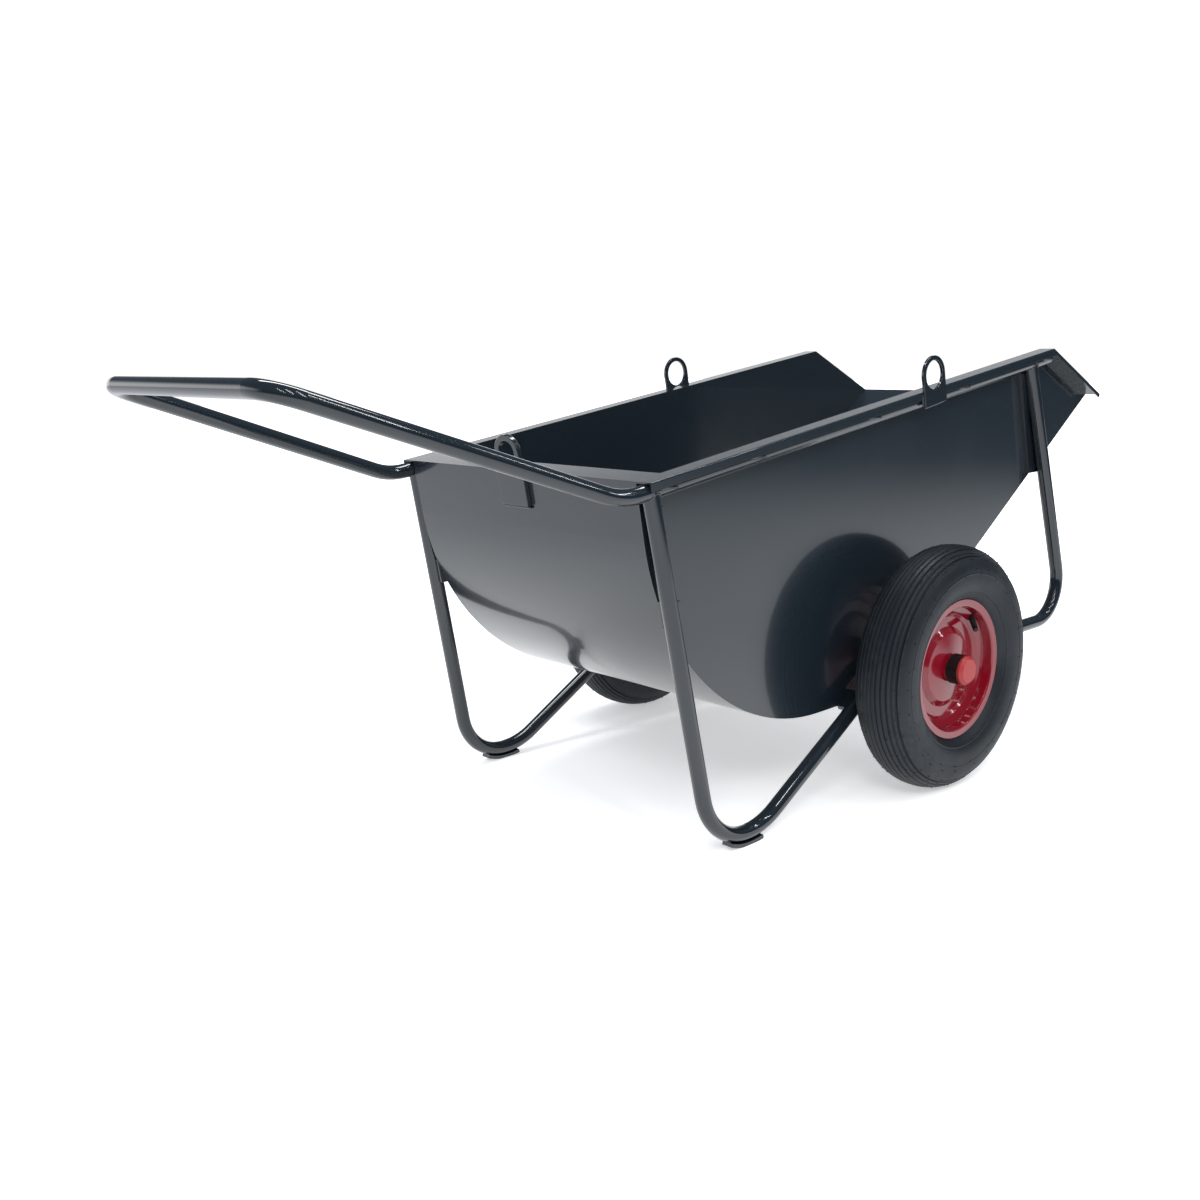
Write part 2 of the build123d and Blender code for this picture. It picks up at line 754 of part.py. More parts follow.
save_pair("inner_tube", inner_tube())
save_pair("valve_stem", valve)
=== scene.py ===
import json
import math
import random

import bmesh
import bpy
from mathutils import Matrix, Vector
from mathutils.bvhtree import BVHTree


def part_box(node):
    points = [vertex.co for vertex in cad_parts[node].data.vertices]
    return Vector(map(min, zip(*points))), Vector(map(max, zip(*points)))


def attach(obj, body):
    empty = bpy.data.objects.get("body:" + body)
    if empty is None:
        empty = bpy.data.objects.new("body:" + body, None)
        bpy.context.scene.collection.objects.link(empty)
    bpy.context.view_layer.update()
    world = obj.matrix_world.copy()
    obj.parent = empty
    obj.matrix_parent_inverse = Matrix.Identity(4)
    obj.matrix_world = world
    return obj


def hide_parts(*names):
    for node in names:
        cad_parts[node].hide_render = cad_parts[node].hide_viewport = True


# Two-wheeled tipping barrow: welded steel tub, tube bow, side frames, red pressed rims.
# Metres, +X to the pouring lip, +Y to the user's left, +Z up, ground at z = 0.

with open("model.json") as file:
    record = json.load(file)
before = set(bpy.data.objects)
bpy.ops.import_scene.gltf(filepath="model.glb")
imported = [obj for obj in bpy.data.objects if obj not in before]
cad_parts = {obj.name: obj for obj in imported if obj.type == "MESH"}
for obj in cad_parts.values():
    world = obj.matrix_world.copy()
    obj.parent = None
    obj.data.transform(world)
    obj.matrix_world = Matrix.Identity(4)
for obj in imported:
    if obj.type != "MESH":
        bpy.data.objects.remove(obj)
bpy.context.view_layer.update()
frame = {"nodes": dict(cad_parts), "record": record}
nodes = frame["nodes"]
SIDES = {"left": 1, "right": -1}
MM = 0.001
FRAME_TUBE_RADIUS = 12.0 * MM
SAME_PLACE = 0.2 * MM       # points this close along a direction count as one end

# ---------------------------------------------------------------- places taken from the frame

tyre_low, tyre_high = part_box("tyre_left")
wheel_centre = (tyre_low + tyre_high) / 2
wheel_radius = (tyre_high.z - tyre_low.z) / 2
tyre_half_width = (tyre_high.y - tyre_low.y) / 2
rim_low, rim_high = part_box("rim_outer_half_left")
rim_radius = (rim_high.z - rim_low.z) / 2


def corners_of(name):
    return [vertex.co.copy() for vertex in nodes[name].data.vertices]


def tree_of(name):
    """Ray-casting tree of a CAD node's surface."""
    mesh = bmesh.new()
    mesh.from_mesh(nodes[name].data)
    tree = BVHTree.FromBMesh(mesh)
    mesh.free()
    return tree


def touch(tree, start, direction):
    """First point of the surface met from start, or None."""
    return tree.ray_cast(Vector(start), Vector(direction).normalized())[0]


def ends_along(points, direction):
    """Middles of the first and last of the points in that direction."""
    direction = Vector(direction).normalized()
    reach = [point.dot(direction) for point in points]
    low, high = min(reach), max(reach)
    first = [point for point, along in zip(points, reach) if along < low + SAME_PLACE]
    last = [point for point, along in zip(points, reach) if along > high - SAME_PLACE]
    return sum(first, Vector()) / len(first), sum(last, Vector()) / len(last)


# ---------------------------------------------------------------- node building


def feed(tree, socket, value):
    """Sets an input to a value, or joins it to the socket that feeds it."""
    if isinstance(value, bpy.types.NodeSocket):
        tree.links.new(value, socket)
    else:
        socket.default_value = value


def add(tree, kind, inputs=None, **settings):
    """New shader node; each input is a value or the socket that feeds it."""
    node = tree.nodes.new(kind)
    for name, value in settings.items():
        setattr(node, name, value)
    for name, value in (inputs or {}).items():
        feed(tree, node.inputs[name], value)
    return node


def noise(tree, place, scale, detail):
    """Factor of a noise texture at that place."""
    inputs = {"Vector": place, "Scale": scale, "Detail": detail}
    return add(tree, "ShaderNodeTexNoise", inputs).outputs["Fac"]


def mix(tree, factor, first, second, blend="MIX"):
    """Colour mix; first and second are colours or sockets."""
    node = tree.nodes.new("ShaderNodeMix")
    node.data_type = "RGBA"
    node.blend_type = blend
    for index, value in ((0, factor), (6, first), (7, second)):
        feed(tree, node.inputs[index], value)
    return node.outputs[2]


def maths(tree, operation, first, second=0.5, clamp=False):
    node = tree.nodes.new("ShaderNodeMath")
    node.operation = operation
    node.use_clamp = clamp
    for index, value in enumerate((first, second)):
        feed(tree, node.inputs[index], value)
    return node.outputs[0]


def ramp(tree, value, low, high):
    """Smooth step from 0 at low to 1 at high."""
    node = add(tree, "ShaderNodeMapRange", {"Value": value, "From Min": low, "From Max": high})
    node.interpolation_type = "SMOOTHSTEP"
    return node.outputs["Result"]


def new_group(name, inputs, outputs):
    """Empty shader group with named sockets, and the sockets inside it."""
    group = bpy.data.node_groups.new(name, "ShaderNodeTree")
    for socket, kind, default in inputs:
        made = group.interface.new_socket(socket, in_out="INPUT", socket_type=kind)
        made.default_value = default
    for socket, kind in outputs:
        group.interface.new_socket(socket, in_out="OUTPUT", socket_type=kind)
    given = group.nodes.new("NodeGroupInput").outputs
    return group, given, group.nodes.new("NodeGroupOutput").inputs


FLOAT, COLOUR, VECTOR = "NodeSocketFloat", "NodeSocketColor", "NodeSocketVector"


def rgb(red, green, blue):
    return (red, green, blue, 1.0)


# ---------------------------------------------------------------- shared surface effects


def make_coat_relief():
    """Slow waves of a rolled sheet or bent tube under the fine orange peel of powder coat."""
    group, given, result = new_group(
        "coat_relief",
        [("Wave Scale", FLOAT, 4.0), ("Wave Height", FLOAT, 0.001),
         ("Peel Scale", FLOAT, 500.0), ("Peel Height", FLOAT, 0.00002)],
        [("Normal", VECTOR)])
    place = add(group, "ShaderNodeTexCoord").outputs["Object"]
    wave = noise(group, place, given["Wave Scale"], 1.0)
    peel = noise(group, place, given["Peel Scale"], 2.0)
    rounded = add(group, "ShaderNodeBevel", {"Radius": 0.7 * MM}, samples=8)
    slow = add(group, "ShaderNodeBump", {"Strength": 1.0, "Distance": given["Wave Height"],
                                         "Height": wave, "Normal": rounded.outputs["Normal"]})
    fine = add(group, "ShaderNodeBump", {"Strength": 1.0, "Distance": given["Peel Height"],
                                         "Height": peel, "Normal": slow.outputs["Normal"]})
    group.links.new(fine.outputs["Normal"], result["Normal"])
    return group


def make_edge_mask():
    """1 along sharp edges and 0 on the flat, from the turn of the normal within a small radius."""
    group, given, result = new_group("edge_mask", [("Gain", FLOAT, 4.0)], [("Mask", FLOAT)])
    soft = add(group, "ShaderNodeBevel", {"Radius": 0.9 * MM}, samples=8)
    hard = add(group, "ShaderNodeNewGeometry").outputs["Normal"]
    normals = {0: soft.outputs["Normal"], 1: hard}
    alike = add(group, "ShaderNodeVectorMath", normals, operation="DOT_PRODUCT").outputs["Value"]
    edge = maths(group, "SUBTRACT", 1.0, alike)
    group.links.new(maths(group, "MULTIPLY", edge, given["Gain"], clamp=True), result["Mask"])
    return group


def make_tone():
    """Colour with slow patches, fine mottling, and a lighter tone where an edge mask says so."""
    group, given, result = new_group(
        "tone",
        [("Colour", COLOUR, rgb(0.1, 0.1, 0.1)), ("Worn Colour", COLOUR, rgb(0.3, 0.3, 0.3)),
         ("Edge", FLOAT, 0.0), ("Patch Scale", FLOAT, 5.0), ("Patch Depth", FLOAT, 0.1),
         ("Roughness", FLOAT, 0.2), ("Smudge", FLOAT, 0.1)],
        [("Colour", COLOUR), ("Roughness", FLOAT)])
    place = add(group, "ShaderNodeTexCoord").outputs["Object"]
    patch = noise(group, place, given["Patch Scale"], 4.0)
    fine = noise(group, place, 260.0, 3.0)
    both = maths(group, "ADD", maths(group, "MULTIPLY", patch, 0.75), maths(group, "MULTIPLY", fine, 0.25))
    centred = maths(group, "SUBTRACT", both, 0.5)
    shade = maths(group, "ADD", maths(group, "MULTIPLY", centred, given["Patch Depth"]), 1.0)
    grey = add(group, "ShaderNodeCombineColor", {"Red": shade, "Green": shade, "Blue": shade})
    varied = mix(group, 1.0, given["Colour"], grey.outputs["Color"], "MULTIPLY")
    chipped = noise(group, place, 90.0, 4.0)
    worn = maths(group, "MULTIPLY", given["Edge"], ramp(group, chipped, 0.35, 0.62))
    group.links.new(mix(group, worn, varied, given["Worn Colour"]), result["Colour"])
    smudge = maths(group, "MULTIPLY", ramp(group, patch, 0.4, 0.7), given["Smudge"])
    group.links.new(maths(group, "ADD", given["Roughness"], smudge), result["Roughness"])
    return group


coat_relief = make_coat_relief()
edge_mask = make_edge_mask()
tone = make_tone()


def place_group(tree, group, **values):
    node = add(tree, "ShaderNodeGroup", node_tree=group)
    for name, value in values.items():
        feed(tree, node.inputs[name.replace("_", " ")], value)
    return node


def new_material(name):
    material = bpy.data.materials.new(name)
    material.use_nodes = True
    tree = material.node_tree
    shader = tree.nodes["Principled BSDF"]
    return material, tree, shader


def dress(tree, shader, wave, peel, **values):
    """Joins tone and relief to a shader; wave and peel are (scale, height)."""
    look = place_group(tree, tone, **values)
    relief = place_group(tree, coat_relief, Wave_Scale=wave[0], Wave_Height=wave[1],
                         Peel_Scale=peel[0], Peel_Height=peel[1])
    tree.links.new(look.outputs["Colour"], shader.inputs["Base Color"])
    tree.links.new(look.outputs["Roughness"], shader.inputs["Roughness"])
    tree.links.new(relief.outputs["Normal"], shader.inputs["Normal"])


def coated(name, colour, worn, roughness, coat=1.0, coat_roughness=0.05, wave=(3.0, 0.0),
           peel=(450.0, 0.00001), patches=(4.0, 0.12)):
    """Powder coat or wet paint on steel; patches is (scale, depth)."""
    material, tree, shader = new_material(name)
    edge = place_group(tree, edge_mask, Gain=5.0)
    dress(tree, shader, wave, peel, Colour=colour, Worn_Colour=worn, Edge=edge.outputs["Mask"],
          Patch_Scale=patches[0], Patch_Depth=patches[1], Roughness=roughness, Smudge=0.05)
    shader.inputs["Coat Weight"].default_value = coat
    shader.inputs["Coat Roughness"].default_value = coat_roughness
    return material


def rubber(name, colour, dust, roughness, grain=(700.0, 0.00006)):
    """Moulded rubber with fine grain and a little dust."""
    material, tree, shader = new_material(name)
    place = add(tree, "ShaderNodeTexCoord").outputs["Object"]
    amount = maths(tree, "MULTIPLY", ramp(tree, noise(tree, place, 14.0, 6.0), 0.42, 0.75), 0.5)
    dress(tree, shader, (30.0, 0.0001), grain, Colour=colour, Worn_Colour=dust, Edge=amount,
          Patch_Scale=9.0, Patch_Depth=0.5, Roughness=roughness, Smudge=0.12)
    return material


def plated(name, colour, roughness):
    """Zinc-plated turned steel."""
    material, tree, shader = new_material(name)
    dress(tree, shader, (60.0, 0.00005), (900.0, 0.00003), Colour=colour, Edge=0.2,
          Worn_Colour=rgb(0.3, 0.28, 0.22), Patch_Scale=40.0, Patch_Depth=0.3,
          Roughness=roughness, Smudge=0.2)
    shader.inputs["Metallic"].default_value = 1.0
    return material


ANTHRACITE = rgb(0.0115, 0.0185, 0.0255)
ANTHRACITE_WORN = rgb(0.035, 0.045, 0.053)
RUBY = rgb(0.23, 0.004, 0.014)

FINISH = {
    "tub_paint": coated("tub_paint", ANTHRACITE, ANTHRACITE_WORN, 0.22, coat_roughness=0.07,
                        wave=(2.2, 0.0005)),
    "frame_paint": coated("frame_paint", rgb(0.0100, 0.0155, 0.0210), ANTHRACITE_WORN, 0.10,
                          peel=(600.0, 0.000012)),
    "eye_paint": coated("eye_paint", rgb(0.011, 0.016, 0.022), ANTHRACITE_WORN, 0.14),
    "weld_paint": coated("weld_paint", rgb(0.016, 0.021, 0.027), rgb(0.16, 0.17, 0.18), 0.14,
                         peel=(300.0, 0.00006), patches=(60.0, 0.5)),
    "rim_paint": coated("rim_paint", RUBY, rgb(0.5, 0.12, 0.13), 0.10, coat_roughness=0.015,
                        wave=(22.0, 0.0003)),
    "cap_plastic": coated("cap_plastic", rgb(0.40, 0.028, 0.028), rgb(0.6, 0.2, 0.18), 0.34, coat=0.15),
    "tyre_rubber": rubber("tyre_rubber", rgb(0.0080, 0.0125, 0.0180), rgb(0.027, 0.035, 0.044), 0.46),
    "tube_rubber": rubber("tube_rubber", rgb(0.012, 0.012, 0.013), rgb(0.04, 0.04, 0.04), 0.6),
    "valve_rubber": rubber("valve_rubber", rgb(0.004, 0.004, 0.005), rgb(0.02, 0.02, 0.02), 0.4),
    "bush_plastic": rubber("bush_plastic", rgb(0.006, 0.007, 0.008), rgb(0.03, 0.03, 0.032), 0.35,
                           grain=(400.0, 0.00002)),
    "axle_steel": plated("axle_steel", rgb(0.62, 0.62, 0.64), 0.3),
}
slot_of = {part["node"]: part["material_slot"] for part in frame["record"]["subparts"]}


def finish_nodes():
    """Gives every CAD node the material of its slot."""
    for name, node in nodes.items():
        node.data.materials.clear()
        node.data.materials.append(FINISH[slot_of[name]])


finish_nodes()

# ---------------------------------------------------------------- mesh building


def new_piece(name, mesh, finish, body, smooth=True):
    """Object of the barrow from a filled bmesh, with its finish, riding on a body."""
    data = bpy.data.meshes.new(name)
    bmesh.ops.recalc_face_normals(mesh, faces=mesh.faces)
    mesh.to_mesh(data)
    mesh.free()
    data.polygons.foreach_set("use_smooth", [smooth] * len(data.polygons))
    data.materials.append(FINISH[finish])
    piece = bpy.data.objects.new(name, data)
    bpy.context.scene.collection.objects.link(piece)
    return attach(piece, body)


def skin(mesh, rings, closed_path=False):
    """Quads between rings of vertices; the ends of an open path are capped."""
    count = len(rings[0])
    pairs = list(zip(rings, rings[1:]))
    if closed_path:
        pairs.append((rings[-1], rings[0]))
    for near, far in pairs:
        for index in range(count):
            beside = (index + 1) % count
            mesh.faces.new((near[index], near[beside], far[beside], far[index]))
    if not closed_path:
        mesh.faces.new(rings[0])
        mesh.faces.new(rings[-1])


def lathe(mesh, profile, centre, axis, steps):
    """Closed profile of (radius, along) turned about the axis through the centre."""
    axis = Vector(axis).normalized()
    side = axis.orthogonal().normalized()
    rings = []
    for step in range(steps):
        spoke = Matrix.Rotation(math.tau * step / steps, 3, axis) @ side
        rings.append([mesh.verts.new(centre + spoke * radius + axis * along) for radius, along in profile])
    skin(mesh, rings, closed_path=True)


BEAD_PITCH = 2.2 * MM
BEAD_TURN_STEPS = 10
BEAD_VALLEY = 0.80          # size between ripples, as a share of the size on them
BEAD_TIP = 0.45             # size at the very end
BEAD_TIP_GROWTH = 0.14      # growth in each step from the end
BEAD_DRAG = 0.35            # how far a ripple's flanks trail, in pitches


def bead_rings(mesh, path, size, outward):
    """Weld bead: a squashed tube along the path whose size ripples once in each pitch."""
    width, height = size
    rings = []
    length = 0.0
    points = resampled(path, BEAD_PITCH / 5)
    for index, point in enumerate(points):
        before, after = points[max(index - 1, 0)], points[min(index + 1, len(points) - 1)]
        along = (after - before).normalized()
        up = (Vector(outward) - along * along.dot(Vector(outward))).normalized()
        across = along.cross(up)
        if index:
            length += (point - points[index - 1]).length
        phase = (length / BEAD_PITCH) % 1.0
        ripple = BEAD_VALLEY + (1 - BEAD_VALLEY) * math.sin(math.pi * phase) ** 0.6
        steps_from_end = min(index, len(points) - 1 - index)
        ripple *= min(1.0, BEAD_TIP + BEAD_TIP_GROWTH * steps_from_end)
        ring = []
        for step in range(BEAD_TURN_STEPS):
            angle = math.tau * step / BEAD_TURN_STEPS
            drag = along * (-BEAD_DRAG * BEAD_PITCH * abs(math.cos(angle)))
            place = point + across * (width / 2 * ripple * math.cos(angle)) + drag
            ring.append(mesh.verts.new(place + up * (height / 2 * ripple * math.sin(angle))))
        rings.append(ring)
    skin(mesh, rings)


def resampled(path, spacing):
    """Points at even spacing along a chain of straight runs."""
    path = [Vector(point) for point in path]
    points = []
    for start, end in zip(path, path[1:]):
        count = max(1, round((end - start).length / spacing))
        points += [start.lerp(end, step / count) for step in range(count)]
    return points + [path[-1]]


def bead(name, paths, size, outward, replaced=None):
    """Piece with a weld bead along each path, in the place of a CAD node where one is named."""
    mesh = bmesh.new()
    for path in paths:
        bead_rings(mesh, path, size, outward)
    piece = new_piece(name, mesh, "weld_paint", "barrow")
    if replaced:
        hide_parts(replaced)


# ---------------------------------------------------------------- plates with rounded edges

# edge rounding of each pair of plates, in millimetres
ROUNDED = {
    "side_lifting_eye": 0.9, "rear_leg_upper_bracket": 0.7, "rear_leg_lower_bracket": 0.7,
    "belly_bracket": 1.2, "front_leg_pad": 0.9, "axle_plate": 0.9, "foot_wear_plate": 0.8,
}
REAR_EYE_ROUNDING = 1.2
SHARP_ANGLE = math.radians(35)      # edges that turn more than this are rounded
FLAT_ANGLE = math.radians(0.05)     # triangles that turn less than this are joined into one face


def rounded_copy(node, edge):
    """Copy of a CAD node whose sharp edges are softened, shown in its place."""
    data = nodes[node].data.copy()
    mesh = bmesh.new()
    mesh.from_mesh(data)
    bmesh.ops.remove_doubles(mesh, verts=mesh.verts, dist=0.002 * MM)
    bmesh.ops.dissolve_limit(mesh, angle_limit=FLAT_ANGLE, verts=mesh.verts, edges=mesh.edges)
    mesh.to_mesh(data)
    mesh.free()
    # normals kept from the CAD mesh don't fit the rounded edges
    if "custom_normal" in data.attributes:
        data.attributes.remove(data.attributes["custom_normal"])
    piece = bpy.data.objects.new(f"{node}_rounded", data)
    bpy.context.scene.collection.objects.link(piece)
    bevel = piece.modifiers.new("edge_rounding", "BEVEL")
    bevel.width = edge * MM
    bevel.segments = 2
    bevel.limit_method = "ANGLE"
    bevel.angle_limit = SHARP_ANGLE
    bevel.harden_normals = True
    data.polygons.foreach_set("use_smooth", [True] * len(data.polygons))
    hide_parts(node)
    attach(piece, "barrow")


for stem, edge in ROUNDED.items():
    for side in SIDES:
        rounded_copy(f"{stem}_{side}", edge)
rounded_copy("rear_lifting_eye", REAR_EYE_ROUNDING)

# ---------------------------------------------------------------- weld beads

STITCH_BEAD = (4.6 * MM, 4.2 * MM)      # width and height
EYE_BEAD = (5.0 * MM, 4.2 * MM)
REAR_EYE_BEAD = (5.0 * MM, 5.0 * MM)
LEG_TOP_BEAD = (3.4 * MM, 3.4 * MM)
STITCH_GAP = 60 * MM        # the stitches of a rail lie further apart than this
EYE_TILT = math.radians(10)
EYE_WELD_START = 4 * MM     # where the beads up an eye's sides start and end, above its lower edge
EYE_WELD_CLIMB = 22 * MM
EYE_WELD_INSET = 3 * MM     # from the eye's corner to the end of the bead along its lower edge
SADDLE_STEPS = 24
SADDLE_MARGIN = 1.04        # ring's radius as a share of the leg's
SADDLE_SQUASH = 0.92        # its width across the rail as a share of its length
LEG_END_DEPTH = 9 * MM      # height of a leg's mitred end


def stitch_paths(side):
    """One path for each short stitch between the flange's lip and the rail."""
    points = sorted(corners_of(f"rail_stitch_welds_{side}"), key=lambda point: point.x)
    groups = [[points[0]]]
    for point in points[1:]:
        if point.x - groups[-1][-1].x > STITCH_GAP:
            groups.append([])
        groups[-1].append(point)
    return [ends_along(group, (1, 0, 0)) for group in groups]


def side_eye_paths(side):
    """Along the lower edge of a side eye, and up both of its sides across the rail."""
    along = Vector((math.cos(EYE_TILT), 0, math.sin(EYE_TILT)))
    upright = Vector((-math.sin(EYE_TILT), 0, math.cos(EYE_TILT)))
    points = corners_of(f"side_lifting_eye_{side}")
    face = min(abs(point.y) for point in points) + 0.6 * MM
    base = min(point.dot(upright) for point in points)
    first = min(point.dot(along) for point in points)
    last = max(point.dot(along) for point in points)

    def at(run, rise):
        return along * run + upright * rise + Vector((0, SIDES[side] * face, 0))

    rise = base + 0.4 * MM
    start, climb = base + EYE_WELD_START, base + EYE_WELD_CLIMB
    out = 0.8 * MM
    return [
        [at(first + EYE_WELD_INSET, rise), at(last - EYE_WELD_INSET, rise)],
        [at(first - out, start), at(first - out, climb)],
        [at(last + out, start), at(last + out, climb)],
    ]


def saddle_path(top):
    """Ring where a leg meets the rail's underside; top is the middle of the leg's end."""
    rail = tree_of("rail_and_handle_bow")
    below = Vector((0, 0, 3 * FRAME_TUBE_RADIUS))
    points = []
    for step in range(SADDLE_STEPS + 1):
        angle = math.tau * step / SADDLE_STEPS
        spoke = Vector((math.cos(angle), SADDLE_SQUASH * math.sin(angle), 0))
        met = touch(rail, top + spoke * (FRAME_TUBE_RADIUS * SADDLE_MARGIN) - below, (0, 0, 1))
        if met:
            points.append(met)
    return points


def leg_tops(side):
    """Upper ends of a side frame's two legs."""
    points = corners_of(f"side_frame_tube_{side}")
    rear = [point for point in points if point.x < wheel_centre.x]
    front = [point for point in points if point.x > wheel_centre.x]
    tops = []
    for leg in (rear, front):
        high = max(point.z for point in leg)
        end = [point for point in leg if point.z > high - LEG_END_DEPTH]
        tops.append(sum(end, Vector()) / len(end))
    return tops


def make_welds():
    """Beads along the rails, at the eyes and where the legs meet the rails."""
    for side, sign in SIDES.items():
        out = (0, sign, 0)
        bead(f"rail_stitch_beads_{side}", stitch_paths(side), STITCH_BEAD, (0, sign, -0.8),
             replaced=f"rail_stitch_welds_{side}")
        bead(f"side_eye_bead_{side}", side_eye_paths(side), EYE_BEAD, out)
        rings = [saddle_path(top) for top in leg_tops(side)]
        bead(f"leg_top_beads_{side}", [ring for ring in rings if len(ring) > 2], LEG_TOP_BEAD, out)
    ends = ends_along(corners_of("rear_eye_weld"), (0, 1, 0))
    bead("rear_eye_bead", [ends], REAR_EYE_BEAD, (-1, 0, -0.4), replaced="rear_eye_weld")


make_welds()

# ---------------------------------------------------------------- tyres

TYRE_SQUARENESS = 2.25
TREAD_GROOVES = (0.0, 8.6, 17.0, 25.0, 32.0, 37.5)      # millimetres from the middle of the tread
GROOVE_WIDTH = 2.0 * MM
GROOVE_DEPTH = 3.0 * MM
GROOVE_FLANK = 0.35 * MM
TREAD_SHARE = 0.55          # share of the section's half height above which it is tread
SIDE_RINGS = ((0.183, 0.9), (0.158, 0.5), (0.1265, 0.8))   # radius in metres, height in millimetres
SIDE_RING_WIDTH = 1.6 * MM
WALL_SLACK = 0.9 * MM       # how far the walls lie inside the CAD tyre, which leaves room for the rings
SECTION_STEPS = 220
TYRE_STEPS = 180
NUB_ROWS = ((0.40, 22), (0.47, 26), (0.62, 30), (0.70, 30), (0.78, 34), (0.86, 34))  # place, count
NUB_HEIGHT = 2.4 * MM
NUB_FOOT_RADIUS = 1.3 * MM
NUB_TIP_RADIUS = 0.8 * MM
SECTION_MIDDLE_DEPTH = 46 * MM      # from the crown to the middle of the tyre's section
VALVE_CLOCK = math.radians(49)      # the stem's place round the rim, up from +X
VALVE_LEAN = (20.5, 25.5)           # the stem leans this far outward for that far towards the hub
VALVE_FOOT_RADIUS = 5.2 * MM
VALVE_TAPER = 0.9 * MM
VALVE_RIBS = 9
VALVE_RIB_STEPS = 6
VALVE_RIB_HEIGHT = 0.45 * MM
VALVE_NECK_RADIUS = 3.4 * MM
VALVE_CAP_RADIUS = 4.5 * MM
VALVE_CAP_LENGTH = 6.5 * MM
VALVE_TURN_STEPS = 28
ON_AXIS = 0.1 * MM                  # smallest radius of a turned profile, so that no faces collapse


def smooth_bump(distance, width):
    """1 in the middle of a band of that width and 0 outside it, with short soft flanks."""
    inside = (width / 2 + GROOVE_FLANK - abs(distance)) / (2 * GROOVE_FLANK)
    inside = min(1.0, max(0.0, inside))
    return inside * inside * (3 - 2 * inside)


def tyre_half_profile():
    """Outer section from beside the rim's flange to the middle of the tread, as (radius, offset)."""
    bead_radius = rim_radius + 0.6 * MM
    middle = (wheel_radius + rim_radius - 8 * MM) / 2
    half_height = wheel_radius - middle
    power = 2 / TYRE_SQUARENESS
    start = math.asin((bead_radius - middle) / half_height)
    points = []
    for step in range(SECTION_STEPS + 1):
        turn = start + (math.pi / 2 - start) * step / SECTION_STEPS
        rise = math.copysign(abs(math.sin(turn)) ** power, math.sin(turn))
        offset = tyre_half_width * math.cos(turn) ** power if step < SECTION_STEPS else 0.0
        radius = middle + half_height * rise
        sunk = 0.0
        if radius > middle + half_height * TREAD_SHARE:
            grooves = [smooth_bump(offset - place * MM, GROOVE_WIDTH) for place in TREAD_GROOVES]
            sunk = GROOVE_DEPTH * max(grooves)
        rings = [height * MM * smooth_bump(radius - place, SIDE_RING_WIDTH) for place, height in SIDE_RINGS]
        slack = WALL_SLACK * (radius < wheel_radius - 10 * MM)
        depth = sunk + slack - max(rings)
        outward = Vector((radius - middle, offset)).normalized()
        points.append((radius - outward.x * depth, offset - outward.y * depth))
    return points


def make_tyre(side):
    """Ribbed tyre with raised rings on its walls and small moulding nubs."""
    half = tyre_half_profile()
    seat = rim_radius - 10 * MM
    inner = [(seat, 24 * MM), (seat, 12 * MM), (wheel_radius - 16 * MM, 20 * MM)]
    outer = half + [(radius, -offset) for radius, offset in reversed(half[:-1])]
    profile = outer + [(radius, -offset) for radius, offset in inner] + list(reversed(inner))
    centre = Vector((wheel_centre.x, SIDES[side] * wheel_centre.y, wheel_centre.z))
    mesh = bmesh.new()
    lathe(mesh, profile, centre, (0, 1, 0), TYRE_STEPS)
    tyre = new_piece(f"ribbed_tyre_{side}", mesh, "tyre_rubber", f"{side}_wheel")
    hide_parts(f"tyre_{side}")
    make_nubs(side, centre, half)


def make_nubs(side, centre, half):
    """Short rubber hairs left by the mould's vents, in rows round the shoulder and the wall."""
    chance = random.Random(7)
    mesh = bmesh.new()
    for sign in (1, -1):
        for share, count in NUB_ROWS:
            radius, offset = half[round(share * (len(half) - 1))]
            for step in range(count):
                angle = math.tau * (step + chance.uniform(-0.25, 0.25)) / count
                spoke = Vector((math.cos(angle), 0, math.sin(angle)))
                foot = centre + spoke * radius + Vector((0, sign * offset, 0))
                section_middle = centre + spoke * (wheel_radius - SECTION_MIDDLE_DEPTH)
                out = (foot - section_middle).normalized()
                turn = out.to_track_quat("Z", "Y").to_matrix().to_4x4()
                place = Matrix.Translation(foot) @ turn
                bmesh.ops.create_cone(mesh, cap_ends=True, segments=7, radius1=NUB_FOOT_RADIUS,
                                      radius2=NUB_TIP_RADIUS, depth=NUB_HEIGHT, matrix=place)
    nubs = new_piece(f"tyre_nubs_{side}", mesh, "valve_rubber", f"{side}_wheel", smooth=False)


